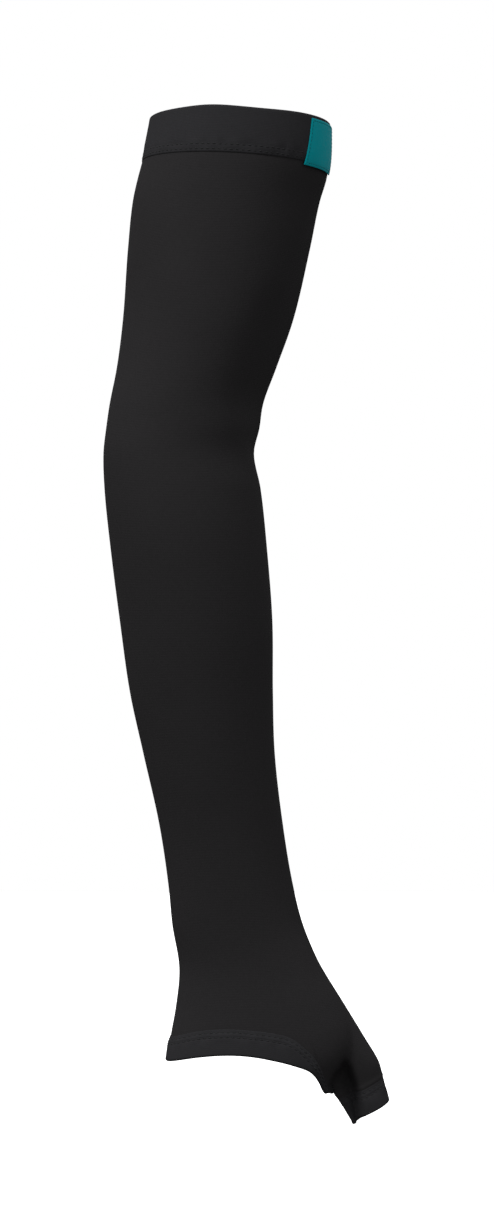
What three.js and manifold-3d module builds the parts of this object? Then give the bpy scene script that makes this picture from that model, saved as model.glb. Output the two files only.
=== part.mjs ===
// A long knit arm sleeve in its worn form: a tube from the upper arm to the palm with a short thumb
// tube, doubled bands at its three openings and a woven label on the upper cuff.
// Millimetres, +Z up. The origin is the centre of the upper-arm opening. X runs across the arm, from
// the point of the elbow (-) to the crook (+), and Y runs from its near face (-) to its far face (+).
import * as THREE from "three";
import { mergeVertices } from "three/addons/utils/BufferGeometryUtils.js";
import Module from "manifold-3d";

// Cloth
const knitWall = 1.2; // one layer of the knit
const bandWall = 2.2; // a doubled band or hem
const bandProud = 0.5; // how far a band stands out from the knit beside it
const labelWall = 0.7;
const seamGap = 0.3; // left between pieces that are sewn together
const innerTurn = 8; // how sharply the upper arm's front turns into its flat inner side
const innerRadius = 10; // of the edge where that side turns into the far face

// Facets
const armSides = 40;
const armRows = 36;
const thumbSides = 28;
const thumbRows = 12;
const edgeSteps = 34;
const labelColumns = 10;
const labelRows = 4;

// Level sections of the arm and palm: how far below the opening, the left and right edge seen from
// the front, the depth from front to back, how far its middle is set back, and how far the flat inner
// side of the upper arm runs across for each millimetre that it comes forward.
const armSections = smoothTable([
  { drop: -8, left: -43.8, right: 44.7, depth: 86, set: 0, run: 0.04 },
  { drop: 3.5, left: -45.4, right: 44.7, depth: 87, set: 0, run: 0.05 },
  { drop: 21.5, left: -49.2, right: 44.4, depth: 89, set: 0, run: 0.14 },
  { drop: 29, left: -51.2, right: 43.2, depth: 89.6, set: 0, run: 0.23 },
  { drop: 39.5, left: -53.5, right: 40, depth: 90, set: 0, run: 0.36 },
  { drop: 63.5, left: -56, right: 35, depth: 90, set: 0, run: 0.5 },
  { drop: 99.5, left: -58.5, right: 26.5, depth: 87, set: -1, run: 0.6 },
  { drop: 123.5, left: -61.5, right: 18, depth: 83, set: -2.2, run: 0.52 },
  { drop: 141.5, left: -65, right: 11.5, depth: 81, set: -3, run: 0.44 },
  { drop: 153.5, left: -66.7, right: 9.7, depth: 80, set: -3.5, run: 0.31 },
  { drop: 165.5, left: -68, right: 7, depth: 79.5, set: -4, run: 0.15 },
  { drop: 183.5, left: -67.5, right: 10.3, depth: 80.5, set: -4.5, run: 0.05 },
  { drop: 213.5, left: -64.5, right: 13.5, depth: 81, set: -3.6, run: 0 },
  { drop: 249.5, left: -60, right: 16.2, depth: 77, set: -1.3, run: 0 },
  { drop: 285.5, left: -55, right: 16.5, depth: 70, set: 1, run: 0 },
  { drop: 315.5, left: -48.5, right: 17.4, depth: 63, set: 2.8, run: 0 },
  { drop: 351.5, left: -40.5, right: 21.5, depth: 54, set: 4.2, run: 0 },
  { drop: 381.5, left: -36, right: 26.5, depth: 48, set: 4.9, run: 0 },
  { drop: 402, left: -34, right: 31.7, depth: 44.5, set: 5, run: 0 },
  { drop: 423.5, left: -30.5, right: 40.8, depth: 42, set: 4.2, run: 0 },
  { drop: 441.5, left: -32, right: 50.5, depth: 40.5, set: 2.2, run: 0 },
  { drop: 455, left: -34.4, right: 55, depth: 39, set: 0, run: 0 },
  { drop: 465.5, left: -36.3, right: 53.5, depth: 38, set: -1.8, run: 0 },
  { drop: 478, left: -38.5, right: 45.5, depth: 37, set: -3.3, run: 0 },
  { drop: 490, left: -41, right: 42.5, depth: 36.5, set: -4, run: 0 },
]);

// The same for the ball of the thumb and its tube, which are round.
const thumbSections = smoothTable([
  { drop: 385, left: 2, right: 22, depth: 30, set: 7 },
  { drop: 402, left: 8, right: 30, depth: 31, set: 8 },
  { drop: 423.5, left: 17, right: 41, depth: 32, set: 9.2 },
  { drop: 441.5, left: 26, right: 52, depth: 31, set: 9.7 },
  { drop: 459.5, left: 35, right: 63, depth: 28.5, set: 9.7 },
  { drop: 471.5, left: 41.5, right: 70, depth: 26, set: 9.9 },
  { drop: 483.5, left: 44.9, right: 72.7, depth: 23.5, set: 10.4 },
  { drop: 495, left: 53, right: 76, depth: 22, set: 10.5 },
  { drop: 508, left: 61.5, right: 79.5, depth: 21, set: 11 },
]);

// The palm opening seen from the front: at each place across it, how far below the upper-arm opening
// its lower edge and the seam of its hem lie.
const handEdge = smoothTable([
  { across: -60, edge: 474, seam: 463.5 },
  { across: -37, edge: 468.8, seam: 457.7 },
  { across: -21, edge: 465.3, seam: 452.9 },
  { across: -6, edge: 463.8, seam: 451.2 },
  { across: 6, edge: 464.4, seam: 451.8 },
  { across: 19, edge: 466.9, seam: 453.6 },
  { across: 26, edge: 468.9, seam: 456 },
  { across: 34, edge: 472.3, seam: 462.6 },
  { across: 40, edge: 478.2, seam: 472.3 },
  { across: 43, edge: 484.3, seam: 478.5 },
  { across: 60, edge: 486, seam: 479.5 },
]);

// The upper cuff: its rim and its seam are straight lines seen from the front.
const rimLine = (across) => 0.1 - 0.033 * across;
const cuffSeamLine = (across) => -22.8 - 0.055 * across;

// The thumb tube's end: the middle of the opening, its slant and the height of its hem.
const thumbEnd = { across: 65.5, drop: 495.8 };
const thumbSlant = THREE.MathUtils.degToRad(25.5);
const thumbHemHeight = 12.5;

// The label wraps the right side of the cuff, from its front edge to its back edge.
const labelFront = THREE.MathUtils.degToRad(-43);
const labelBack = THREE.MathUtils.degToRad(-5);
const labelBelowRim = 2;
const labelPastSeam = 2.5;

const wide = 90; // further out than any part of the sleeve, for the cutting solids

const wasm = await Module();
wasm.setup();

// A function that gives the row of a table at any value of its first column, on a smooth curve.
function smoothTable(rows) {
  const [key, ...columns] = Object.keys(rows[0]);
  const values = rows.flatMap((row) => columns.map((column) => row[column]));
  const places = rows.map((row) => row[key]);
  const curve = new THREE.CubicInterpolant(places, values, columns.length);
  return (at) => {
    const found = curve.evaluate(at);
    return Object.fromEntries(columns.map((column, i) => [column, found[i]]));
  };
}

// A point on a tube's surface, moved out by offset: an ellipse between the section's edges, whose near
// face stays behind the plane of the flat inner side, with the edges of that side rounded.
function onTube(sections, drop, angle, offset) {
  const { left, right, depth, set, run = 0 } = sections(drop);
  const across = (left + right) / 2 + ((right - left) / 2 + offset) * Math.cos(angle);
  let out = (depth / 2 + offset) * Math.sin(angle);
  if (run > 0.01 && out < 0) {
    const inwards = Math.max(right + offset * Math.hypot(1, run) - across, 0.01);
    const plane = Math.sqrt((inwards / run) ** 2 + 2 * innerRadius * inwards);
    out = -((plane ** -innerTurn + (-out) ** -innerTurn) ** (-1 / innerTurn));
  }
  return new THREE.Vector3(across, set + out, -drop);
}

function solidOf(geometry) {
  geometry.deleteAttribute("normal");
  geometry.deleteAttribute("uv");
  const merged = mergeVertices(geometry, 1e-4);
  return new wasm.Manifold(
    new wasm.Mesh({
      numProp: 3,
      vertProperties: merged.attributes.position.array,
      triVerts: new Uint32Array(merged.index.array),
    }),
  );
}

// A closed tube through level sections, from one drop to another, with flat ends.
function tube(sections, offset, from, to, rows, sides) {
  const points = [];
  const faces = [];
  for (let row = 0; row <= rows; row += 1) {
    const drop = from + ((to - from) * row) / rows;
    for (let side = 0; side < sides; side += 1) {
      points.push(onTube(sections, drop, (2 * Math.PI * side) / sides, offset));
    }
  }
  for (let row = 0; row < rows; row += 1) {
    for (let side = 0; side < sides; side += 1) {
      const next = (side + 1) % sides;
      const [a, b] = [row * sides + side, row * sides + next];
      faces.push(a, a + sides, b, b, a + sides, b + sides);
    }
  }
  const lastRow = rows * sides;
  for (let side = 1; side < sides - 1; side += 1) {
    faces.push(0, side, side + 1, lastRow, lastRow + side + 1, lastRow + side);
  }
  return solidOf(new THREE.BufferGeometry().setFromPoints(points).setIndex(faces));
}

// A solid with the given outline in X and Z, which runs right through the sleeve along Y.
function through(outline) {
  const shape = new THREE.Shape(outline.map(([across, height]) => new THREE.Vector2(across, height)));
  const geometry = new THREE.ExtrudeGeometry(shape, { depth: 2 * wide, bevelEnabled: false });
  return solidOf(geometry.rotateX(Math.PI / 2).translate(0, wide, 0));
}

// Everything below one line across the front and above another.
function between(upper, lower, steps) {
  const across = Array.from({ length: steps + 1 }, (_, i) => wide * ((2 * i) / steps - 1));
  const lowerRun = across.map((x) => [x, lower(x)]);
  const upperRun = across.map((x) => [x, upper(x)]).reverse();
  return through([...lowerRun, ...upperRun]);
}

// A curved slab: pointAt gives its inner and outer face over a grid.
function slab(pointAt, columns, rows) {
  const points = [];
  const faces = [];
  const layer = (columns + 1) * (rows + 1);
  for (const face of [0, 1]) {
    for (let row = 0; row <= rows; row += 1) {
      for (let column = 0; column <= columns; column += 1) {
        points.push(pointAt(column / columns, row / rows, face));
      }
    }
  }
  const quad = (a, b, c, d) => faces.push(a, b, c, a, c, d);
  const at = (column, row, face) => face * layer + row * (columns + 1) + column;
  for (let row = 0; row < rows; row += 1) {
    for (let column = 0; column < columns; column += 1) {
      quad(at(column, row, 1), at(column, row + 1, 1), at(column + 1, row + 1, 1), at(column + 1, row, 1));
      quad(at(column, row, 0), at(column + 1, row, 0), at(column + 1, row + 1, 0), at(column, row + 1, 0));
    }
  }
  for (let row = 0; row < rows; row += 1) {
    quad(at(0, row, 0), at(0, row + 1, 0), at(0, row + 1, 1), at(0, row, 1));
    quad(at(columns, row, 1), at(columns, row + 1, 1), at(columns, row + 1, 0), at(columns, row, 0));
  }
  for (let column = 0; column < columns; column += 1) {
    quad(at(column, 0, 1), at(column + 1, 0, 1), at(column + 1, 0, 0), at(column, 0, 0));
    quad(at(column, rows, 0), at(column + 1, rows, 0), at(column + 1, rows, 1), at(column, rows, 1));
  }
  return solidOf(new THREE.BufferGeometry().setFromPoints(points).setIndex(faces));
}

const arm = (offset) => tube(armSections, offset, -8, 490, armRows, armSides);
const thumb = (offset) => tube(thumbSections, offset, 385, 508, thumbRows, thumbSides);
const handSeamLine = (across) => -handEdge(THREE.MathUtils.clamp(across, -60, 60)).seam;
const handEdgeLine = (across) => -handEdge(THREE.MathUtils.clamp(across, -60, 60)).edge;

// The thumb tube's end, cut square to its slant, moved back up the tube by back.
function thumbCutLine(back) {
  const [sine, cosine] = [Math.sin(thumbSlant), Math.cos(thumbSlant)];
  const middle = { across: thumbEnd.across - back * sine, height: back * cosine - thumbEnd.drop };
  return (across) => middle.height + ((across - middle.across) * sine) / cosine;
}

const below = -600;
const above = 60;
const moved = (line, by) => (across) => line(across) + by;
const flat = (height) => () => height;

function upperCuff() {
  const band = arm(bandProud).subtract(arm(bandProud - bandWall));
  return band.intersect(between(rimLine, cuffSeamLine, 1));
}

function handHem() {
  const band = arm(bandProud).subtract(arm(bandProud - bandWall));
  return band.intersect(between(handSeamLine, handEdgeLine, edgeSteps));
}

function thumbHem() {
  const band = thumb(bandProud).subtract(thumb(bandProud - bandWall));
  return band.intersect(between(thumbCutLine(thumbHemHeight), thumbCutLine(0), 1));
}

function sleeveBody() {
  const outside = arm(0).add(thumb(0));
  const inside = arm(-knitWall).add(thumb(-knitWall));
  const cuffPlace = between(flat(above), moved(cuffSeamLine, -seamGap), 1);
  const palmPlace = between(moved(handSeamLine, seamGap), flat(below), edgeSteps);
  const thumbPlace = between(thumbCutLine(thumbHemHeight + seamGap), flat(below), 1);
  return outside
    .subtract(inside)
    .subtract(cuffPlace)
    .subtract(arm(bandProud + seamGap).intersect(palmPlace))
    .subtract(thumbPlace.intersect(thumb(wide / 4)));
}

function cuffLabel() {
  const inner = bandProud + seamGap;
  return slab(
    (along, down, face) => {
      const angle = THREE.MathUtils.lerp(labelFront, labelBack, along);
      const across = onTube(armSections, 0, angle, 0).x;
      const top = labelBelowRim - rimLine(across);
      const bottom = labelPastSeam - cuffSeamLine(across);
      const drop = THREE.MathUtils.lerp(top, bottom, down);
      return onTube(armSections, drop, angle, inner + face * labelWall);
    },
    labelColumns,
    labelRows,
  );
}

const blackKnit = { color: 0x232324, roughness: 0.9, metalness: 0 };
const blackBand = { color: 0x29292b, roughness: 0.88, metalness: 0 };
const tealWeave = { color: 0x0e656b, roughness: 0.7, metalness: 0 };

const sleeve = new THREE.Group();

function addPiece(name, solid, finish) {
  const { vertProperties, triVerts } = solid.getMesh();
  const geometry = new THREE.BufferGeometry();
  geometry.setAttribute("position", new THREE.BufferAttribute(vertProperties, 3));
  geometry.setIndex(new THREE.BufferAttribute(triVerts, 1));
  geometry.computeVertexNormals();
  const mesh = new THREE.Mesh(geometry, new THREE.MeshStandardMaterial(finish));
  mesh.name = name;
  sleeve.add(mesh);
}

addPiece("sleeve_body", sleeveBody(), blackKnit);
addPiece("upper_cuff", upperCuff(), blackBand);
addPiece("hand_hem", handHem(), blackBand);
addPiece("thumb_hem", thumbHem(), blackBand);
addPiece("cuff_label", cuffLabel(), tealWeave);

export default sleeve;
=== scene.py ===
# A long black knit arm sleeve in its worn form: body, cuff, hems, label and their stitching
import bpy
import numpy as np
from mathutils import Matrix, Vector


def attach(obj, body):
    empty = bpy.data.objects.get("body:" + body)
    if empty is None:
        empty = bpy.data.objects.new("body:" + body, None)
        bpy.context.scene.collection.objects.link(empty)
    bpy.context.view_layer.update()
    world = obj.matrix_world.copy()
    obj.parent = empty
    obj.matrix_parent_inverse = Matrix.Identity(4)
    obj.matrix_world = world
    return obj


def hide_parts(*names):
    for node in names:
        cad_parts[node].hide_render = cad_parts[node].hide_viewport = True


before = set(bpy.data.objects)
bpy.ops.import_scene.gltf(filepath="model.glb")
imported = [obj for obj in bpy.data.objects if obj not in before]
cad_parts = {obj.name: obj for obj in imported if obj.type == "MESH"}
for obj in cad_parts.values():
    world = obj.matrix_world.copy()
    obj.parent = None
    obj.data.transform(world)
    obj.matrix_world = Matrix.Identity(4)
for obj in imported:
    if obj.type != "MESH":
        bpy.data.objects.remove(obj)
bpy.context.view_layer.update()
print("frame loaded with", len(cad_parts), "nodes")

mm = 0.001               # sizes below are in millimetres, meshes in metres
hair = 1e-6              # too small to see, and keeps negative powers off zero
turn = 2 * np.pi


# Curves and tables

# A table's other columns at any value of its first: a cubic through its rows, whose slope at a row is the
# mean of the chords on both sides of it, and at an end that of the last chord.
def smoothTable(rows):
    rows = np.array(rows, float)
    places, values = rows[:, 0], rows[:, 1:]
    chords = np.diff(values, axis=0) / np.diff(places)[:, None]
    slopes = np.vstack([chords[:1], (chords[1:] + chords[:-1]) / 2, chords[-1:]])

    def look(at):
        at = np.clip(at, places[0], places[-1])
        i = np.clip(np.searchsorted(places, at, side="right") - 1, 0, len(places) - 2)
        span = (places[i + 1] - places[i])[..., None]
        t = (at - places[i])[..., None] / span
        start = values[i] * (1 + 2 * t) + slopes[i] * span * t
        end = values[i + 1] * (3 - 2 * t) - slopes[i + 1] * span * (1 - t)
        return np.moveaxis(start * (1 - t) ** 2 + end * t ** 2, -1, 0)

    return look


# Runs from 0 at low to 1 at high with no kink at either.
def ease(low, high, value):
    t = np.clip((value - low) / (high - low), 0, 1)
    return t * t * (3 - 2 * t)


# The larger of two values, with the corner where they cross filled over the given reach.
def softMax(a, b, reach):
    close = np.maximum(reach - np.abs(a - b), 0)
    return np.maximum(a, b) + close ** 2 / (4 * reach)


# A ridge of height 1 round a middle value, which fades like a bell curve.
def ridge(value, middle, width):
    return np.exp(-((value - middle) / width) ** 2)


# The drop at which each column meets a line across the sleeve, found by halving the span that it lies in.
def meetLine(acrossAt, dropOfLine, span, columnCount):
    low, high = (np.full(columnCount, float(end)) for end in span)
    halvings = 40
    for _ in range(halvings):
        middle = (low + high) / 2
        isAbove = middle < dropOfLine(acrossAt(middle))
        low = np.where(isAbove, middle, low)
        high = np.where(isAbove, high, middle)
    return (low + high) / 2


# Level sections of the arm and palm: drop below the rim, left edge, right edge, depth from front to back
armSections = smoothTable([
    (-8, -43.8, 44.7, 86), (3.5, -45.4, 44.7, 87), (21.5, -49.2, 44.4, 89), (29, -51.2, 43.2, 89.6),
    (39.5, -53.5, 40, 90), (63.5, -56, 35, 90), (99.5, -58.5, 26.5, 87), (123.5, -61.5, 18, 83),
    (141.5, -65, 11.5, 81), (153.5, -66.7, 9.7, 80), (165.5, -68, 7, 79.5), (183.5, -67.5, 10.3, 80.5),
    (213.5, -64.5, 13.5, 81), (249.5, -60, 16.2, 77), (285.5, -55, 16.5, 70), (315.5, -48.5, 17.4, 63),
    (351.5, -40.5, 21.5, 54), (381.5, -36, 26.5, 48), (402, -34, 31.7, 44.5), (423.5, -30.5, 40.8, 42),
    (441.5, -32, 50.5, 40.5), (455, -34.4, 55, 39), (465.5, -36.3, 53.5, 38), (478, -38.5, 45.5, 37),
    (490, -41, 42.5, 36.5),
])

# The same for the ball of the thumb and its tube, with how far its middle lies behind the arm's
thumbSections = smoothTable([
    (385, 2, 22, 18, 0), (402, 8, 30, 23, 1.5), (423.5, 17, 41, 28.5, 4), (441.5, 26, 52, 30.5, 7.5),
    (459.5, 35, 63, 28.5, 10.5), (471.5, 41.5, 70, 26, 12.5), (483.5, 44.9, 72.7, 23.5, 14),
    (495, 53, 76, 22, 14.5), (508, 60.3, 79.5, 21, 15),
])

# The palm opening: place across the front, drop of its lower edge, drop of its hem's seam
handEdge = smoothTable([
    (-60, 474, 463.5), (-37, 468.8, 457.7), (-21, 465.3, 452.9), (-6, 463.8, 451.2), (6, 464.4, 451.8),
    (19, 466.9, 453.6), (26, 468.9, 456), (34, 472.1, 462.6), (37, 474.2, 466), (40, 477.4, 471.4),
    (43, 483.8, 480.4), (60, 488, 481.8),
])

# How far the arm's middle lies behind the rim's, by drop: it comes forward at the elbow and at the hand
armSet = smoothTable([
    (-8, 0), (20, 0), (70, 0), (120, -2), (185, -4.5), (240, -2), (310, 2.5), (390, 5), (420, 4.5),
    (470, -2.5), (490, -4),
])

# The flat inner side of the upper arm, by drop: how far it runs across for each millimetre of depth
innerRun = smoothTable([
    (-8, 0.04), (10, 0.05), (22, 0.1), (40, 0.22), (52, 0.27), (79, 0.35), (100, 0.46), (118, 0.46),
    (140, 0.42), (157, 0.32), (173, 0.12), (200, 0.03), (490, 0.03),
])

# Where the fold between palm and thumb is deepest on the near face, by drop
foldLine = smoothTable([(440, 42), (455, 46.5), (466, 50.5), (479, 54.5), (490, 57.5), (508, 58.5)])

# The thumb opening is cut square to its slanting tube, and one corner hangs down beside the palm
thumbEnd = {
    "across": 65.5,
    "drop": 495.8,
    "slant": np.radians(25.5),
    "hemHeight": 12.5,
    "tipAcross": 55.5,       # the hanging corner
    "tipDrop": 4.6,
    "tipReach": 3.5,
}

# The cuff's rim and seam fall to the right, and the rim rises and dips a little on its way
cuffLines = {
    "rim": -0.1,
    "rimSlope": 0.033,
    "rise": 0.75,
    "riseAcross": -15,
    "dip": 0.4,
    "dipAcross": 13,
    "waveReach": 13,
    "seam": 22.8,
    "seamSlope": 0.055,
}

# Drops between which each line across the sleeve is looked for
lineSpans = {
    "rim": (-7, 20),
    "cuffSeam": (10, 40),
    "handSeam": (430, 492),
    "handEdge": (445, 489.9),
    "thumbSeam": (460, 507),
    "thumbEdge": (470, 507.9),
}


# A straight fall with one bell-shaped rise and one dip.
def rimDrop(across):
    rise = cuffLines["rise"] * ridge(across, cuffLines["riseAcross"], cuffLines["waveReach"])
    dip = cuffLines["dip"] * ridge(across, cuffLines["dipAcross"], cuffLines["waveReach"])
    return cuffLines["rimSlope"] * across + cuffLines["rim"] - rise + dip


def cuffSeamDrop(across):
    return cuffLines["seam"] + cuffLines["seamSlope"] * across


def handEdgeDrop(across):
    return handEdge(across)[0]


def handSeamDrop(across):
    return handEdge(across)[1]


# A line across the thumb tube, parallel to its end and back up the tube from it.
def thumbCutDrop(across, back):
    sine, cosine = np.sin(thumbEnd["slant"]), np.cos(thumbEnd["slant"])
    fromMiddle = across - (thumbEnd["across"] - back * sine)
    return thumbEnd["drop"] - back * cosine - fromMiddle * sine / cosine


def thumbSeamDrop(across):
    return thumbCutDrop(across, thumbEnd["hemHeight"])


# The end's own line, with a bell curve below it for the hanging corner.
def thumbEdgeDrop(across):
    tip = ridge(across, thumbEnd["tipAcross"], thumbEnd["tipReach"])
    return thumbCutDrop(across, 0) + thumbEnd["tipDrop"] * tip


fold = {
    "starts": 463,           # drop where it begins, and where it is at its deepest
    "full": 483,
    "depth": 0.82,           # share of the thumb's bulge that it takes away there
    "lip": 0.5,              # from the thumb's left edge to where the face begins to sink
    "sink": 0.6,             # less than 1 makes it sink quickly at first
    "round": 1,              # how far before its line the face turns
    "wall": 5,               # and how far past it the face is out again
}


# The share of the thumb's bulge that is left on its near face: from the lip it falls by a power of the way to
# the fold's line, and there it turns and eases back to the whole along a wall.
def foldShare(x, drop):
    depth = fold["depth"] * ease(fold["starts"], fold["full"], drop)
    line = foldLine(drop)[0]
    lip = thumbSections(drop)[0] + fold["lip"]
    towards = np.clip((x - lip) / (line - lip), 0, 1) ** fold["sink"]
    return 1 - depth * towards * (1 - ease(line - fold["round"], line + fold["wall"], x))


# A point of the palm's plain tube: an ellipse between the section's edges, at an angle from +X.
def onPalm(drop, angle):
    left, right, depth = armSections(drop)
    x = (left + right) / 2 + (right - left) / 2 * np.cos(angle)
    y = armSet(drop)[0] + depth / 2 * np.sin(angle)
    return np.stack(np.broadcast_arrays(x, y, -drop), -1)


# A point of the thumb's tube: another such ellipse, folded in on its near side.
def onThumb(drop, angle):
    left, right, depth, behind = thumbSections(drop)
    x = (left + right) / 2 + (right - left) / 2 * np.cos(angle)
    bulge = depth / 2 * np.sin(angle)
    y = armSet(drop)[0] + behind + bulge * np.where(bulge < 0, foldShare(x, drop), 1)
    return np.stack(np.broadcast_arrays(x, y, -drop), -1)


# The ellipse angle, from 0 to a whole turn, of the point at x on the near or far face of the thumb's tube.
def thumbAngleAt(drop, x, isNear):
    left, right = thumbSections(drop)[:2]
    angle = np.arccos(np.clip((x - (left + right) / 2) / ((right - left) / 2), -1, 1))
    return np.where(isNear, turn - angle, angle)


# Meshes from arrays

# The four corners of each cell of a grid, in the order that faces outwards where columns run anticlockwise
# and rows run down. It serves for point numbers and for coordinates alike.
def cellCorners(grid):
    above, below = grid[:-1], grid[1:]
    corners = np.stack([above[:, :-1], below[:, :-1], below[:, 1:], above[:, 1:]], 2)
    return corners.reshape(-1, 4, *grid.shape[2:])


# A grid of point numbers with its first column repeated at the end.
def closeColumns(ids):
    return np.hstack([ids, ids[:, :1]])


# Unit normals at the points: the cross product of each quad's diagonals, summed over the quads at a point.
def pointNormals(points, quads):
    a, b, c, d = (points[quads[:, i]] for i in range(4))
    facing = np.cross(c - a, d - b)
    total = np.zeros_like(points)
    for i in range(4):
        np.add.at(total, quads[:, i], facing)
    return total / np.linalg.norm(total, axis=1, keepdims=True)


# A smooth mesh object. stitch holds the knit or weave coordinate of every quad's four corners.
def makePiece(name, points, quads, stitch, material, node):
    mesh = bpy.data.meshes.new(name)
    mesh.vertices.add(len(points))
    mesh.vertices.foreach_set("co", (points * mm).ravel())
    mesh.loops.add(quads.size)
    mesh.loops.foreach_set("vertex_index", quads.ravel())
    mesh.polygons.add(len(quads))
    mesh.polygons.foreach_set("loop_start", np.arange(0, quads.size, 4))
    mesh.polygons.foreach_set("use_smooth", np.ones(len(quads), bool))
    mesh.update(calc_edges=True)
    edgeOfCorner = np.empty(quads.size, np.int32)
    mesh.loops.foreach_get("edge_index", edgeOfCorner)
    isRim = np.bincount(edgeOfCorner, minlength=len(mesh.edges)) == 1      # rims shade apart from faces
    mesh.attributes.new("sharp_edge", "BOOLEAN", "EDGE").data.foreach_set("value", isRim)
    flat = np.zeros((quads.size, 3))
    flat[:, :2] = stitch.reshape(-1, 2)
    mesh.attributes.new("stitch", "FLOAT_VECTOR", "CORNER").data.foreach_set("vector", flat.ravel())
    mesh.materials.append(material)
    piece = bpy.data.objects.new(name, mesh)
    bpy.context.collection.objects.link(piece)
    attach(piece, "root")
    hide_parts(node)
    print(name, "has", len(points), "points and", len(quads), "quads")
    return piece


# A wall inwards from the face.
def thicken(piece, wall):
    shell = piece.modifiers.new("wall", "SOLIDIFY")
    shell.thickness = wall * mm
    shell.offset = -1
    shell.use_even_offset = True


# Shader maths

# One socket of a node tree: arithmetic on it adds Math nodes.
class Wire:
    def __init__(self, tree, socket):
        self.tree = tree
        self.socket = socket

    def math(self, operation, *terms):
        node = self.tree.nodes.new("ShaderNodeMath")
        node.operation = operation
        for place, term in zip(node.inputs, terms):
            plug(self.tree, place, term)
        return Wire(self.tree, node.outputs[0])

    def __add__(self, other):
        return self.math("ADD", self, other)

    def __radd__(self, other):
        return self.math("ADD", other, self)

    def __sub__(self, other):
        return self.math("SUBTRACT", self, other)

    def __rsub__(self, other):
        return self.math("SUBTRACT", other, self)

    def __mul__(self, other):
        return self.math("MULTIPLY", self, other)

    def __rmul__(self, other):
        return self.math("MULTIPLY", other, self)

    def __abs__(self):
        return self.math("ABSOLUTE", self)

    def fraction(self):
        return self.math("FRACT", self)

    def whole(self):
        return self.math("FLOOR", self)

    def sine(self):
        return self.math("SINE", self)


def plug(tree, place, value):
    if isinstance(value, Wire):
        tree.links.new(value.socket, place)
    else:
        place.default_value = value


# A node tree with one method for every node that isn't arithmetic.
class Nodes:
    def __init__(self, owner):
        owner.use_nodes = True
        self.tree = owner.node_tree
        self.tree.nodes.clear()

    def node(self, kind, settings=None, sockets=None, output=0):
        node = self.tree.nodes.new(kind)
        for name, value in (settings or {}).items():
            setattr(node, name, value)
        for place, value in (sockets or {}).items():
            plug(self.tree, node.inputs[place], value)
        return Wire(self.tree, node.outputs[output]) if node.outputs else None

    # the two parts of the knit or weave coordinate
    def stitchPlace(self):
        place = self.node("ShaderNodeAttribute", {"attribute_name": "stitch"}, {}, "Vector")
        return [self.node("ShaderNodeSeparateXYZ", {}, {0: place}, i) for i in range(2)]

    def objectPlace(self):
        return self.node("ShaderNodeTexCoord", {}, {}, "Object")

    def noise(self, place, size, detail):
        sockets = {"Vector": place, "Scale": 1 / (size * mm), "Detail": detail}
        return self.node("ShaderNodeTexNoise", {}, sockets)

    def blendColours(self, share, first, second):
        colours = {0: share, 6: (*first, 1), 7: (*second, 1)}
        return self.node("ShaderNodeMix", {"data_type": "RGBA"}, colours, 2)

    def bump(self, height, depth, strength):
        sockets = {"Height": height, "Distance": depth * mm, "Strength": strength}
        return self.node("ShaderNodeBump", {}, sockets)

    def surface(self, sockets):
        shader = self.node("ShaderNodeBsdfPrincipled", {}, sockets)
        self.node("ShaderNodeOutputMaterial", {}, {"Surface": shader})


# Finishes

# The knit's colour runs from low between the loops to high on top of them: painted shade in the hollows of
# the knit, plus faint random clouds of its own tone
knitLook = {
    "low": (0.0117, 0.0113, 0.0117),      # between the loops
    "high": (0.0236, 0.0226, 0.0236),     # on top of them
    "paintedShadeShare": 0.7,                     # of the way between these that a loop's height makes
    "toneFloor": 0.15,
    "lag": 0.55,                          # of the wave at a wale's edges, in courses
    "waveShare": 0.6,                     # of a loop's height that the wave makes
    "loopDepth": 0.22,
    "bumpStrength": 0.35,
    "patchSize": 35,                      # of the faint clouds where the knit is pulled more
    "patchShare": 0.22,
    "fuzzSize": 1.6,
    "fuzzShare": 0.25,
    "fuzzHeight": 0.3,
    "roughness": 0.94,                    # between the loops
    "polish": 0.12,                       # how much less it is on top of them
    "specular": 0.005,
}

bandLook = dict(knitLook, low=(0.0133, 0.0131, 0.0140), high=(0.0265, 0.0261, 0.0281))

# The label's teal runs from low to high with the height of its threads: painted shade where they dip and
# between rows, plus random slubs
weaveLook = {
    "low": (0.0004, 0.147, 0.170),
    "high": (0.0008, 0.220, 0.254),
    "paintedShadeShare": 0.6,
    "repeat": 5,                          # warps from one dip of a thread to its next
    "stepBy": 2,                          # warps that the dips move along from row to row
    "threadDepth": 0.12,
    "bumpStrength": 0.5,
    "slubSize": 1.1,
    "slubShare": 0.4,
    "roughness": 0.68,
    "polish": 0.12,
    "specular": 0.02,
}

# Each thread's colour is darkened between its plies as painted shade
threadLook = {
    "black": (0.021, 0.021, 0.022),
    "teal": (0.003, 0.075, 0.086),
    "paintedGrooveShade": 0.55,                       # share of the colour that is left between the plies
    "plies": 3,
    "plyDepth": 0.08,
    "bumpStrength": 0.4,
    "roughness": 0.7,
    "polish": 0.15,
    "specular": 0.06,
}


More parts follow.
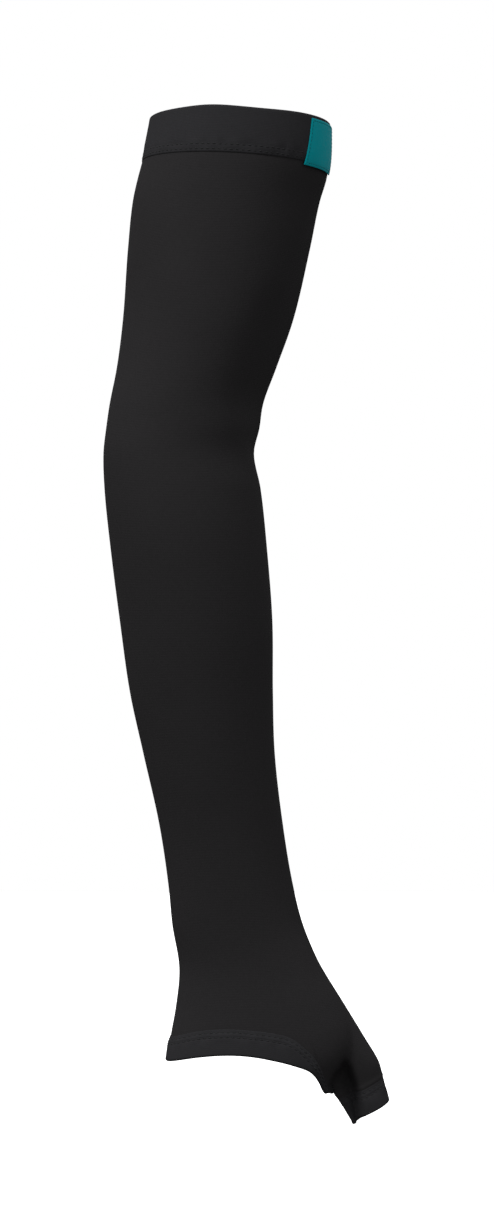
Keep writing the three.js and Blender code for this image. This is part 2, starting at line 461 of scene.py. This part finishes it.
# Plain jersey: each wale is a column of two slanting legs, so a loop's height is a hump across each leg times
# a wave along it, and the wave lags towards the wale's edges to make the rows of Vs.
def knitFinish(name, look):
    material = bpy.data.materials.new(name)
    nodes = Nodes(material)
    wale, course = nodes.stitchPlace()
    fromMiddle = abs(wale.fraction() - 0.5) * 2
    leg = 1 - abs(fromMiddle * 2 - 1)
    wave = ((course + fromMiddle * look["lag"]) * turn).sine() * 0.5 + 0.5
    height = leg * (wave * look["waveShare"] + (1 - look["waveShare"]))
    place = nodes.objectPlace()
    patches = nodes.noise(place, look["patchSize"], detail=3.0)
    fuzz = nodes.noise(place, look["fuzzSize"], detail=2.0)
    cloud = (patches - 0.5) * look["patchShare"] + (fuzz - 0.5) * look["fuzzShare"]
    # painted shade: the lower the knit lies, the darker it is; the clouds and fuzz are random tone
    paintedShadeAndNoise = height * look["paintedShadeShare"] + look["toneFloor"] + cloud
    relief = height + fuzz * look["fuzzHeight"]
    nodes.surface({
        "Base Color": nodes.blendColours(paintedShadeAndNoise, look["low"], look["high"]),
        "Roughness": look["roughness"] - height * look["polish"],
        "Normal": nodes.bump(relief, look["loopDepth"], look["bumpStrength"]),
        "Specular IOR Level": look["specular"],
    })
    return material


# Satin weave: rows of half-round threads that float over most warps and dip under one in each repeat, where
# the dips step along from row to row.
def weaveFinish(name, look):
    material = bpy.data.materials.new(name)
    nodes = Nodes(material)
    across, down = nodes.stitchPlace()
    inRepeat = across * (1 / look["repeat"]) + down.whole() * (look["stepBy"] / look["repeat"])
    fromMiddle = abs(inRepeat.fraction() - 0.5) * 2
    nearDip = fromMiddle * fromMiddle
    height = (down.fraction() * np.pi).sine() * (1 - nearDip * nearDip)
    slub = nodes.noise(nodes.objectPlace(), look["slubSize"], detail=2.0)
    # painted shade, darker where the threads lie low, with slubs of random tone
    paintedShadeAndNoise = height * look["paintedShadeShare"] + slub * look["slubShare"]
    nodes.surface({
        "Base Color": nodes.blendColours(paintedShadeAndNoise, look["low"], look["high"]),
        "Roughness": look["roughness"] - height * look["polish"],
        "Normal": nodes.bump(height, look["threadDepth"], look["bumpStrength"]),
        "Specular IOR Level": look["specular"],
    })
    return material


# Sewing thread: plies twisted together show as slanting stripes along each stitch, bumped and darkened
# between the plies as painted shade.
def threadFinish(name, look, colour):
    material = bpy.data.materials.new(name)
    nodes = Nodes(material)
    along, around = nodes.stitchPlace()
    ply = ((along * look["plies"] + around) * turn).sine() * 0.5 + 0.5
    paintedGrooveColour = tuple(part * look["paintedGrooveShade"] for part in colour)
    nodes.surface({
        "Base Color": nodes.blendColours(ply, paintedGrooveColour, colour),
        "Roughness": look["roughness"] - ply * look["polish"],
        "Normal": nodes.bump(ply, look["plyDepth"], look["bumpStrength"]),
        "Specular IOR Level": look["specular"],
    })
    return material


blackKnit = knitFinish("black_knit", knitLook)
doubledKnit = knitFinish("doubled_knit", bandLook)
tealWeave = weaveFinish("teal_weave", weaveLook)
blackThread = threadFinish("black_thread", threadLook, threadLook["black"])
tealThread = threadFinish("teal_thread", threadLook, threadLook["teal"])
print("finishes made")


# Sleeve body

sleeve = {
    "wall": 1.1,
    "creaseAngles": (-58, 61),     # degrees, of the columns that run down to the two ends of the web
    "thumbColumns": 72,            # between them, round the thumb's side
    "handColumns": 140,            # between them, round the rest of the arm
    "handCrowding": 0.6,           # of which more lie near the web
    "webColumns": 8,               # from one end of the web to the other
    "rows": 176,
    "thumbRows": 12,
    "edgeRows": (0, 0.12, 0.45, 1.1),   # how far the rows nearest to an edge lie from it
    "armLength": 440,              # rough lengths of arm and thumb tube, for spacing these rows
    "thumbLength": 12,
    "thumbBase": 471.5,            # drop of the thumb tube's upper end at its outer side
    "thumbGrows": (365, 385),      # drops between which the thumb's lobe rises out of the arm,
    "thumbSink": 60,               # and how deep it lies in it above them
    "thumbShows": 404,             # drop below which it counts for the right edge
    "creaseRound": 6.5,            # how widely the crease between palm and thumb is filled
    "lobeFall": 4,                 # how steeply a lobe falls away past its edge
    "innerTurn": 8,                # how sharply the upper arm's front turns into its flat inner side
    "innerRadius": 3,              # of the edge where that side turns into the far face
    "edgeTurn": 0.05,              # sine of the angle over which the near face turns into the far one
    "farLift": 4,                  # of the hand hem on the far side,
    "liftReach": 0.9,              # and the angle from the web over which it rises to that
    "webSag": 1.0,
    "webHem": 2.8,                 # least height of the hand hem, which it has at the web
    "webHemRound": 3,              # how softly its edge comes to that
    "webReach": 0.35,              # angle past the web's ends in which its hem goes back to the palm's form:
    "webTuck": 1.2,                # at the web it is tucked up by this
    "webLean": 0.4,                # and leans towards the thumb by this for each millimetre down
    "hemSettles": 0.8,             # share of its height in which the hem comes to the palm's form elsewhere
    "seamLap": 0.3,                # of knit and band where they are sewn
    "seamRoll": 0.06,              # how far the knit rolls in at the cuff's seam and the hand hem's
    "thumbRoll": -0.35,            # at the thumb hem's it swells out instead
    "seamRollWidth": 1.3,
    "rollReach": 0.2,              # angle from the web in which the hand hem's roll comes to its full depth
    "wales": 300,                  # columns of loops round the arm
    "course": 0.8,                 # height of a row of loops
}


# The knit's outer face at an angle round the arm and a drop below the rim. Across it a cosine runs between
# the section's edges. Each face is the further out of two ellipses, palm and thumb, with the crease between
# them filled.
def knitFace(angle, drop):
    left, palmRight, palmDepth = armSections(drop)
    thumbLeft, thumbRight, thumbDepth, behind = thumbSections(drop)
    right = np.where(drop > sleeve["thumbShows"], np.maximum(palmRight, thumbRight), palmRight)
    x = (left + right) / 2 + (right - left) / 2 * np.cos(angle)

    def bulge(low, high, depth):
        share = (x - (low + high) / 2) / ((high - low) / 2)
        past = np.maximum(np.abs(share) - 1, 0) * (high - low) / 2
        return depth / 2 * np.sqrt(np.clip(1 - share ** 2, 0, 1)) - sleeve["lobeFall"] * past

    # the nearer of the ellipse and the inner side's plane, with the edge between them rounded
    def flattened(palm):
        inwards = np.maximum(palmRight - x, 0)
        plane = np.sqrt((inwards / innerRun(drop)[0]) ** 2 + 2 * sleeve["innerRadius"] * inwards) + hair
        sharp = sleeve["innerTurn"]
        nearer = (np.maximum(palm, hair) ** -sharp + plane ** -sharp) ** (-1 / sharp)
        return np.where(palm > 0, nearer, palm)

    palm = bulge(left, palmRight, palmDepth)
    sunk = sleeve["thumbSink"] * (1 - ease(*sleeve["thumbGrows"], drop))
    thumb = bulge(thumbLeft, thumbRight, thumbDepth) - sunk
    near = -softMax(flattened(palm), thumb * foldShare(x, drop) - behind, sleeve["creaseRound"])
    far = softMax(palm, thumb + behind, sleeve["creaseRound"])
    isFar = ease(-sleeve["edgeTurn"], sleeve["edgeTurn"], np.sin(angle))
    y = near + (far - near) * isFar + armSet(drop)[0]
    return np.stack([x, y, -drop], -1)


nearCrease, farCrease = np.radians(sleeve["creaseAngles"])
thumbSpan = sleeve["thumbColumns"]
handShare = np.linspace(0, 1, sleeve["handColumns"], endpoint=False)
handShare = handShare - sleeve["handCrowding"] * np.sin(turn * handShare) / turn
columnAngles = np.concatenate([
    np.linspace(nearCrease, farCrease, thumbSpan, endpoint=False),
    farCrease + (nearCrease + turn - farCrease) * handShare,
])
columns = len(columnAngles)
fromCrease = np.minimum(np.abs(columnAngles - farCrease), np.abs(columnAngles - nearCrease - turn))
isThumbColumn = np.arange(columns) < thumbSpan


# Where each column lies across the sleeve at its drop.
def acrossAt(drop):
    return knitFace(columnAngles, drop)[:, 0]


# Even shares from 0 to 1 with a few more rows near both ends, so that the edges of the cloth shade crisply.
def crowded(count, length):
    ends = np.array(sleeve["edgeRows"]) / length
    return np.concatenate([ends, np.linspace(2 * ends[-1], 1 - 2 * ends[-1], count), 1 - ends[::-1]])


# Columns start at the cuff's seam. Round the hand they end at the hem's seam, and round the thumb at a line
# that rises from the web to the thumb's outer side.
cuffSeam = meetLine(acrossAt, cuffSeamDrop, lineSpans["cuffSeam"], columns)
topDrop = cuffSeam - sleeve["seamLap"]
liftEnd = farCrease + sleeve["liftReach"]
lift = sleeve["farLift"] * ease(0, 1, np.sin(columnAngles)) * ease(farCrease, liftEnd, columnAngles)
handDrop = meetLine(acrossAt, handSeamDrop, lineSpans["handSeam"], columns) - lift
isNearSide = np.sin(columnAngles) < 0
webDrop = np.where(isNearSide, handDrop[0], handDrop[thumbSpan])
creaseOfSide = np.where(isNearSide, nearCrease, farCrease)
towardsWeb = (1 - np.cos(columnAngles)) / (1 - np.cos(creaseOfSide))
thumbTop = sleeve["thumbBase"] + (webDrop - sleeve["thumbBase"]) * towardsWeb
bottomDrop = np.where(isThumbColumn, thumbTop, handDrop)

rowShare = crowded(sleeve["rows"], sleeve["armLength"])[:, None]
armDrop = topDrop + (bottomDrop - topDrop) * rowShare
armPoints = knitFace(columnAngles, armDrop)

# The web runs straight from the far crease to the near one and sags in the middle.
webShare = np.linspace(0, 1, sleeve["webColumns"] + 1)[1:-1, None]
webPoints = armPoints[-1, thumbSpan] + (armPoints[-1, 0] - armPoints[-1, thumbSpan]) * webShare
webPoints[:, 2] -= sleeve["webSag"] * np.sin(np.pi * webShare[:, 0])

# The thumb tube follows its own sections, and near its upper end bends over to the loop that it grows from.
thumbLoop = np.vstack([armPoints[-1, :thumbSpan + 1], webPoints])
thumbLoopDrop = -thumbLoop[:, 2]
isNearThumb = np.append(isNearSide[:thumbSpan + 1], np.ones(len(webPoints), bool))
thumbAngles = thumbAngleAt(thumbLoopDrop, thumbLoop[:, 0], isNearThumb)
thumbAngles[thumbSpan + 1:] = np.linspace(
    thumbAngles[thumbSpan], thumbAngles[0], sleeve["webColumns"] + 1)[1:-1]


def thumbAcrossAt(drop):
    return onThumb(drop, thumbAngles)[:, 0]


thumbSeam = meetLine(thumbAcrossAt, thumbSeamDrop, lineSpans["thumbSeam"], len(thumbAngles))
thumbHemSeam = thumbSeam + sleeve["seamLap"]
thumbShare = crowded(sleeve["thumbRows"], sleeve["thumbLength"])[1:, None]
tubeDrop = thumbLoopDrop + (thumbHemSeam - thumbLoopDrop) * thumbShare
bend = thumbLoop - onThumb(thumbLoopDrop, thumbAngles)
tubePoints = onThumb(tubeDrop, thumbAngles) + bend * (1 - ease(0, 1, thumbShare))[..., None]


# Two grids that share the loop at the thumb's root: the arm's, and below it the thumb tube's with the web.
def buildBody():
    points = np.vstack([armPoints.reshape(-1, 3), webPoints, tubePoints.reshape(-1, 3)])
    armIds = np.arange(armDrop.size).reshape(armDrop.shape)
    webIds = armDrop.size + np.arange(len(webPoints))
    tubeIds = armDrop.size + len(webPoints) + np.arange(tubeDrop.size).reshape(tubeDrop.shape)
    loopIds = np.append(armIds[-1, :thumbSpan + 1], webIds)
    tubeIds = np.vstack([loopIds, tubeIds])
    quads = np.vstack([cellCorners(closeColumns(armIds)), cellCorners(closeColumns(tubeIds))])

    # loops run down the arm in wales, which follow its columns, and across it in level courses
    wales = sleeve["wales"] * (columnAngles - nearCrease) / turn
    webWales = wales[thumbSpan] + np.arange(1, sleeve["webColumns"] + 1)
    armWales = np.append(wales, sleeve["wales"])
    tubeWales = np.concatenate([wales[:thumbSpan + 1], webWales])
    armCourse = closeColumns(armDrop) / sleeve["course"]
    tubeCourse = closeColumns(np.vstack([thumbLoopDrop, tubeDrop])) / sleeve["course"]
    armStitch = np.stack(np.broadcast_arrays(armWales, armCourse), -1)
    tubeStitch = np.stack(np.broadcast_arrays(tubeWales, tubeCourse), -1)
    stitch = np.vstack([cellCorners(armStitch), cellCorners(tubeStitch)])

    # the knit rolls in where it is sewn, least at the ends of the web
    width = sleeve["seamRollWidth"]
    handRoll = np.where(isThumbColumn, 0, ease(0, sleeve["rollReach"], fromCrease))
    atSeams = ridge(armDrop, topDrop, width) + handRoll * ridge(armDrop, bottomDrop, width)
    armRoll = sleeve["seamRoll"] * atSeams
    tubeRoll = sleeve["thumbRoll"] * ridge(tubeDrop, thumbHemSeam - width, width)
    roll = np.concatenate([armRoll.ravel(), np.zeros(len(webPoints)), tubeRoll.ravel()])
    points = points - pointNormals(points, quads) * roll[:, None]
    return makePiece("sleeve_knit", points, quads, stitch, blackKnit, "sleeve_body")


body = buildBody()
thicken(body, sleeve["wall"])


# Doubled bands

band = {
    "wall": 2.1,
    "proud": 0.5,            # how far a band stands out from the knit beside it
    "seamShare": 0.5,        # of that which is left at its seam
    "seamEase": 3.0,         # how far from its seam it reaches its full thickness
    "seamEnd": 0.12,         # length of its rounded end at the seam
    "freeEnd": 0.9,          # and at the opening
    "puff": 0.2,
    "faceRows": 26,
    "capRows": 6,
    "stitchRows": (1.5, 3.9),  # from the seam
    "fullHeight": 8,         # below which a band's rows of stitches draw in towards its seam
    "stitchDip": 0.16,
    "stitchDipWidth": 0.55,
    "pucker": 0.22,
    "puckerPitch": 12.5,
    "puckerReach": 2.2,
    "puckerDrift": 1.7,      # how far the puckers wander from an even pitch, in radians,
    "puckerBeat": 0.31,      # and how often, by their own pitch
    "wale": 0.9,
    "course": 0.8,
}

thread = {
    "pitch": 2.9,
    "length": 2.3,
    "radius": 0.24,
    "taper": 0.85,           # how much it narrows at both ends
    "lift": 0.1,
    "around": 6,
    "along": 6,
}


# The strip's section: shares of its height and half thickness, out along its face, round its lower end, back
# along its inner face and round its upper end.
def stripOutline():
    face = np.linspace(0, 1, band["faceRows"], endpoint=False)
    cap = np.linspace(0, np.pi, band["capRows"], endpoint=False)
    flatFace, flatCap = np.zeros_like(face), np.zeros_like(cap)
    run = np.concatenate([face, flatCap + 1, 1 - face, flatCap])
    past = np.concatenate([flatFace, np.sin(cap), flatFace, -np.sin(cap)])
    side = np.concatenate([flatFace + 1, np.cos(cap), flatFace - 1, -np.cos(cap)])
    return run[:, None], past[:, None], side[:, None]


# A doubled band is that section carried round an opening. groundAt gives the points that the strip lies on,
# at shares of its height from its upper end, for all columns, and outwards is the cross product of down and
# along.
class Band:
    def __init__(self, groundAt, seamIsUp):
        self.groundAt = groundAt
        self.seamIsUp = seamIsUp
        ends = groundAt(np.array([[0.0], [1.0]]))
        self.heights = np.linalg.norm(ends[1] - ends[0], axis=-1)
        steps = np.linalg.norm(np.roll(ends[0], -1, axis=0) - ends[0], axis=-1)
        self.walked = np.concatenate([[0], np.cumsum(steps)])

    def outwards(self, share):
        step = 0.02
        ground = self.groundAt(share)
        down = self.groundAt(share + step) - self.groundAt(share - step)
        along = np.roll(ground, -1, axis=1) - np.roll(ground, 1, axis=1)
        facing = np.cross(down, along)
        return facing / np.linalg.norm(facing, axis=-1, keepdims=True)

    # outer and inner face above the ground: thinner at the seam, puffed up between, dipped at the stitches
    # and puckered by them
    def faces(self, fromSeam):
        full = ease(0, band["seamEase"], fromSeam)
        dips = sum(ridge(fromSeam, row, band["stitchDipWidth"]) for row in band["stitchRows"])
        around = self.walked[:-1] * turn / band["puckerPitch"]
        drift = band["puckerDrift"] * np.sin(around * band["puckerBeat"])
        ripple = np.sin(around + drift) * ridge(fromSeam, band["stitchRows"][1], band["puckerReach"])
        puff = band["puff"] * np.sin(np.pi * np.clip(fromSeam / self.heights, 0, 1))
        swell = band["seamShare"] + (1 - band["seamShare"]) * full
        outer = band["proud"] * swell + puff - band["stitchDip"] * dips + band["pucker"] * ripple
        inner = (band["proud"] - band["wall"]) * swell
        return outer, inner

    def fromSeam(self, down):
        return down if self.seamIsUp else self.heights - down

    def build(self, name, node):
        run, past, side = stripOutline()
        ends = (band["seamEnd"], band["freeEnd"])
        upper, lower = ends if self.seamIsUp else ends[::-1]
        down = upper + (self.heights - upper - lower) * run + np.where(past > 0, lower, upper) * past
        outer, inner = self.faces(self.fromSeam(down))
        share = down / self.heights
        offset = (outer + inner) / 2 + side * (outer - inner) / 2
        grid = self.groundAt(share) + self.outwards(share) * offset[..., None]
        ids = np.arange(offset.size).reshape(offset.shape)
        quads = cellCorners(closeColumns(np.vstack([ids, ids[:1]])))
        points = grid.reshape(-1, 3)
        ring = np.vstack([grid, grid[:1]])
        climbed = np.cumsum(np.linalg.norm(np.diff(ring, axis=0), axis=-1).mean(axis=1))
        course = np.append(0, climbed)[:, None] / band["course"]
        wale = self.walked / band["wale"]
        stitch = cellCorners(np.stack(np.broadcast_arrays(wale, course), -1))
        return makePiece(name, points, quads, stitch, doubledKnit, node)

    # the closed line on the outer face at a distance from the seam, and the way out from it
    def stitchLine(self, distance):
        fromSeam = np.minimum(distance, self.heights * distance / band["fullHeight"])[None]
        share = self.fromSeam(fromSeam) / self.heights
        out = self.outwards(share)
        line = self.groundAt(share) + out * self.faces(fromSeam)[0][..., None]
        return line[0], out[0]


# Points on a closed line at given lengths along it, between its own points in proportion.
def alongLine(line, values, lengths):
    loop = np.vstack([line, line[:1]])
    walked = np.concatenate([[0], np.cumsum(np.linalg.norm(np.diff(loop, axis=0), axis=1))])
    values = np.vstack([values, values[:1]])
    at = lengths(walked[-1])
    return np.stack([np.interp(at, walked, values[:, i]) for i in range(3)], -1)


# A row of stitches on a closed line: each is a round thread that arches from where it comes up to where it
# goes down, and narrows at both ends.
def stitchGrid(line, out, size):
    share = np.linspace(0, 1, size["along"])

    def lengths(whole):
        count = int(round(whole / size["pitch"]))
        starts = np.arange(count) * whole / count
        return (starts[:, None] + share * size["length"]) % whole

    middle = alongLine(line, line, lengths)
    up = alongLine(line, out, lengths)
    up = up / np.linalg.norm(up, axis=-1, keepdims=True)
    ahead = middle[:, -1:] - middle[:, :1]
    ahead = ahead / np.linalg.norm(ahead, axis=-1, keepdims=True)
    aside = np.cross(up, ahead)
    middle = middle + up * (size["lift"] * (2 * np.sin(np.pi * share) - 1))[:, None]
    radius = size["radius"] * np.sqrt(1 - size["taper"] * (2 * share - 1) ** 2)
    angle = -np.linspace(0, turn, size["around"], endpoint=False)
    spoke = np.cos(angle)[:, None] * aside[:, :, None] + np.sin(angle)[:, None] * up[:, :, None]
    return middle[:, :, None] + radius[:, None, None] * spoke


# Rows of stitches as one piece: every stitch is a small grid that is closed round and has six-sided ends,
# each filled by two quads.
def buildStitches(name, lines, size, material, node):
    grids = np.concatenate([stitchGrid(line, out, size) for line, out in lines])
    count, along, around = grids.shape[:3]
    ids = np.arange(along * around).reshape(along, around)
    firstEnd, lastEnd = ids[0], ids[-1]
    firstCaps = [firstEnd[[0, 1, 2, 3]], firstEnd[[0, 3, 4, 5]]]
    lastCaps = [lastEnd[[3, 2, 1, 0]], lastEnd[[5, 4, 3, 0]]]
    caps = np.array(firstCaps + lastCaps)
    quads = np.vstack([cellCorners(closeColumns(ids)), caps])
    wound = np.stack(np.meshgrid(np.linspace(0, 1, along), np.linspace(0, 1, around + 1), indexing="ij"), -1)
    stitch = np.vstack([cellCorners(wound), np.zeros((len(caps), 4, 2))])
    allQuads = (quads + along * around * np.arange(count)[:, None, None]).reshape(-1, 4)
    allStitch = np.broadcast_to(stitch, (count, *stitch.shape))
    return makePiece(name, grids.reshape(-1, 3), allQuads, allStitch, material, node)


# Upper cuff: the arm's own face between its rim and its seam
cuffRim = meetLine(acrossAt, rimDrop, lineSpans["rim"], columns)


def cuffGround(share):
    return knitFace(columnAngles, cuffRim + (cuffSeam - cuffRim) * share)


# Hand hem: from the end of the knit, web included, it eases on to the palm's own section.
handLoop = np.vstack([armPoints[-1, thumbSpan:], armPoints[-1, :1], webPoints[::-1]])
handLoopDrop = -handLoop[:, 2]
palmLeft, palmRight, palmDepth = armSections(handLoopDrop)
handAngles = np.unwrap(np.arctan2(
    (handLoop[:, 1] - armSet(handLoopDrop)[0]) / palmDepth,
    (handLoop[:, 0] - (palmLeft + palmRight) / 2) / (palmRight - palmLeft)))
webStart = columns - thumbSpan    # at the web the columns are spread evenly between their neighbours
webEven = np.linspace(handAngles[webStart - 1], handAngles[1] + turn, sleeve["webColumns"] + 3)[1:-1]
handAngles[webStart:] = webEven[:-1]
handAngles[0] = webEven[-1] - turn


def handAcrossAt(drop):
    return onPalm(drop, handAngles)[:, 0]


handLower = meetLine(handAcrossAt, handEdgeDrop, lineSpans["handEdge"], len(handAngles))
webMiddle = (handAngles[webStart] + turn + handAngles[0]) / 2
webHalf = webMiddle - handAngles[webStart]
fromWeb = np.abs(2 * np.sin((handAngles - webMiddle) / 2)) - webHalf
atWeb = 1 - ease(0, sleeve["webReach"], fromWeb)    # 1 along the web, fading to 0 past its ends
handLower = handLower - np.concatenate([lift[thumbSpan:], np.zeros(sleeve["webColumns"])])
handLower = softMax(handLower, handLoopDrop + sleeve["webHem"], sleeve["webHemRound"])
handUpper = handLoopDrop - sleeve["seamLap"] - sleeve["webTuck"] * atWeb
handLean = handLoop - onPalm(handLoopDrop, handAngles)


# The palm's ellipse plus the knit's distance from it at the seam, which fades on the way down except at the
# web.
def handGround(share):
    drop = handUpper + (handLower - handUpper) * share
    leanShare = 1 - ease(0, sleeve["hemSettles"], share) * (1 - atWeb)
    points = onPalm(drop, handAngles) + handLean * leanShare[..., None]
    points[..., 0] += sleeve["webLean"] * atWeb * np.maximum(drop - handLoopDrop, 0)
    return points


# Thumb hem: the last stretch of the thumb's tube
thumbLower = meetLine(thumbAcrossAt, thumbEdgeDrop, lineSpans["thumbEdge"], len(thumbAngles))


def thumbGround(share):
    return onThumb(thumbSeam + (thumbLower - thumbSeam) * share, thumbAngles)


cuffBand = Band(cuffGround, False)
handBand = Band(handGround, True)
thumbBand = Band(thumbGround, True)
cuff = cuffBand.build("cuff_band", "upper_cuff")
handHem = handBand.build("hand_hem_band", "hand_hem")
thumbHem = thumbBand.build("thumb_hem_band", "thumb_hem")


def sewBand(name, ring, node):
    lines = [ring.stitchLine(row) for row in band["stitchRows"]]
    return buildStitches(name, lines, thread, blackThread, node)


cuffThread = sewBand("cuff_stitching", cuffBand, "upper_cuff")
handThread = sewBand("hand_hem_stitching", handBand, "hand_hem")
thumbThread = sewBand("thumb_hem_stitching", thumbBand, "thumb_hem")
print("bands sewn")


# Label

label = {
    "front": -41.4,          # degrees round the cuff
    "back": -5,
    "skew": 4.7,             # degrees that its lower edge lies further forward than its upper one
    "belowRim": 2,
    "pastSeam": 1.8,
    "off": 1.4,              # of its face from the knit
    "wall": 0.55,
    "columns": 60,
    "rows": 50,
    "stitchInset": 1.3,
    "stitchDip": 0.14,
    "stitchDipWidth": 0.5,
    "edgeRound": 0.25,
    "edgeReach": 0.4,
    "sidePoints": 40,        # of the stitches' line, along each side
    "pick": 0.4,             # width of a woven thread
    "size": (31, 26.5),
}

labelThread = dict(thread, pitch=1.9, length=1.5, radius=0.17, lift=0.06)


# The arm's face under a point of the label, which is given by shares of its width and height.
def underLabel(across, down):
    skew = label["skew"] * (0.5 - down)
    angle = np.radians(label["front"] + (label["back"] - label["front"]) * across + skew)
    atCuff = knitFace(angle, np.zeros_like(angle))[..., 0]
    top = label["belowRim"] + rimDrop(atCuff)
    bottom = label["pastSeam"] + cuffSeamDrop(atCuff)
    return knitFace(angle, top + (bottom - top) * down)


# That point lifted by out along the face's normal, the cross product of the ways down and across.
def onLabel(across, down, out):
    step = 0.01
    wayDown = underLabel(across, down + step) - underLabel(across, down - step)
    wayAcross = underLabel(across + step, down) - underLabel(across - step, down)
    facing = np.cross(wayDown, wayAcross)
    facing = facing / np.linalg.norm(facing, axis=-1, keepdims=True)
    return underLabel(across, down) + facing * np.asarray(out)[..., None]


# How far its face is off the knit: less along the line of stitches and at the edges, by bell curves.
def labelOut(across, down):
    width, height = label["size"]
    fromEdge = np.minimum(np.minimum(across, 1 - across) * width, np.minimum(down, 1 - down) * height)
    pressed = label["stitchDip"] * ridge(fromEdge, label["stitchInset"], label["stitchDipWidth"])
    rounded = label["edgeRound"] * ridge(fromEdge, 0, label["edgeReach"])
    return label["off"] - pressed - rounded


def buildLabel():
    across = np.linspace(0, 1, label["columns"] + 1)[None, :]
    down = np.linspace(0, 1, label["rows"] + 1)[:, None]
    across, down = np.broadcast_arrays(across, down)
    points = onLabel(across, down, labelOut(across, down))
    ids = np.arange(across.size).reshape(across.shape)
    threads = np.stack([across * label["size"][0], down * label["size"][1]], -1) / label["pick"]
    piece = makePiece("woven_label", points.reshape(-1, 3), cellCorners(ids), cellCorners(threads),
                      tealWeave, "cuff_label")
    thicken(piece, label["wall"])
    return piece


# The line of the label's stitches: round the four sides, at one inset from each.
def labelStitchLine():
    low = label["stitchInset"] / np.array(label["size"])
    high = 1 - low
    corners = np.array([low, (low[0], high[1]), high, (high[0], low[1])])
    share = np.linspace(0, 1, label["sidePoints"], endpoint=False)[None, :, None]
    sides = corners[:, None] + (np.roll(corners, -1, axis=0) - corners)[:, None] * share
    across, down = sides.reshape(-1, 2).T
    face = onLabel(across, down, labelOut(across, down))
    out = onLabel(across, down, labelOut(across, down) + 1) - face
    return face, out


cuffLabel = buildLabel()
labelStitches = buildStitches("label_stitching", [labelStitchLine()], labelThread, tealThread, "cuff_label")
print("label sewn on")


# Studio

studio = {
    "floor": -1000,           # below the sleeve, which its mount holds up
    "floorSize": 12000,
    "floorColour": (0.92, 0.92, 0.92),
    "floorRoughness": 0.9,
    "floorGlow": 0.5,
    "sky": 0.76,              # light from the level, and what it gains straight up
    "skyRise": 0.79,
    "skySide": 0.12,          # what it loses level to the right
    "keyTurn": -39,           # degrees round from the front, negative to the left
    "keyRise": 55,            # degrees up from the level
    "keyAway": 3200,
    "keySize": 1090,
    "keyPower": 89,
    "middle": (0, 0, -250),
}

camera = {
    "place": (3.5, -1360, -246),
    "frameHeight": 614,       # of the picture at the sleeve
    "sensor": 36,
}


def buildFloor():
    half = studio["floorSize"] / 2
    corners = [(-half, -half), (half, -half), (half, half), (-half, half)]
    points = np.array([(x, y, studio["floor"]) for x, y in corners])
    mesh = bpy.data.meshes.new("floor")
    mesh.from_pydata((points * mm).tolist(), [], [(0, 1, 2, 3)])
    material = bpy.data.materials.new("floor")
    Nodes(material).surface({
        "Base Color": (*studio["floorColour"], 1),
        "Roughness": studio["floorRoughness"],
        "Emission Color": (1, 1, 1, 1),
        "Emission Strength": studio["floorGlow"],
    })
    mesh.materials.append(material)
    floor = bpy.data.objects.new("floor", mesh)
    floor.visible_diffuse = False
    floor.visible_glossy = False
    bpy.context.collection.objects.link(floor)


# The sky brightens from the ground up and darkens to the right, and is plain white where the camera sees it.
def buildSky():
    world = bpy.data.worlds.new("studio")
    bpy.context.scene.world = world
    nodes = Nodes(world)
    way = nodes.node("ShaderNodeTexCoord", {}, {}, "Generated")
    up = nodes.node("ShaderNodeSeparateXYZ", {}, {0: way}, 2)
    right = nodes.node("ShaderNodeSeparateXYZ", {}, {0: way}, 0)
    right = right.math("MAXIMUM", right, 0.0)
    glow = up * studio["skyRise"] - right * studio["skySide"] + studio["sky"]
    glow = glow.math("MAXIMUM", glow, 0.0)
    isSeen = nodes.node("ShaderNodeLightPath", {}, {}, "Is Camera Ray")
    strength = isSeen + (1 - isSeen) * glow
    shade = nodes.node("ShaderNodeBackground", {}, {"Strength": strength, "Color": (1, 1, 1, 1)})
    nodes.node("ShaderNodeOutputWorld", {}, {"Surface": shade})


def buildKeyLight():
    side, rise = np.radians(studio["keyTurn"]), np.radians(studio["keyRise"])
    way = np.array([np.sin(side) * np.cos(rise), -np.cos(side) * np.cos(rise), np.sin(rise)])
    lamp = bpy.data.lights.new("key", "AREA")
    lamp.shape = "DISK"
    lamp.size = studio["keySize"] * mm
    lamp.energy = studio["keyPower"]
    light = bpy.data.objects.new("key", lamp)
    light.location = (np.array(studio["middle"]) + way * studio["keyAway"]) * mm
    light.rotation_euler = Vector(way).to_track_quat("Z", "Y").to_euler()
    bpy.context.collection.objects.link(light)


def buildCamera():
    data = bpy.data.cameras.new("camera")
    data.sensor_fit = "VERTICAL"
    data.sensor_height = camera["sensor"]
    data.lens = camera["sensor"] * -camera["place"][1] / camera["frameHeight"]
    eye = bpy.data.objects.new("camera", data)
    eye.location = np.array(camera["place"]) * mm
    eye.rotation_euler = (np.pi / 2, 0, 0)
    bpy.context.collection.objects.link(eye)
    bpy.context.scene.camera = eye


buildFloor()
buildSky()
buildKeyLight()
buildCamera()
bpy.context.scene.view_settings.view_transform = "Standard"
print("studio set")
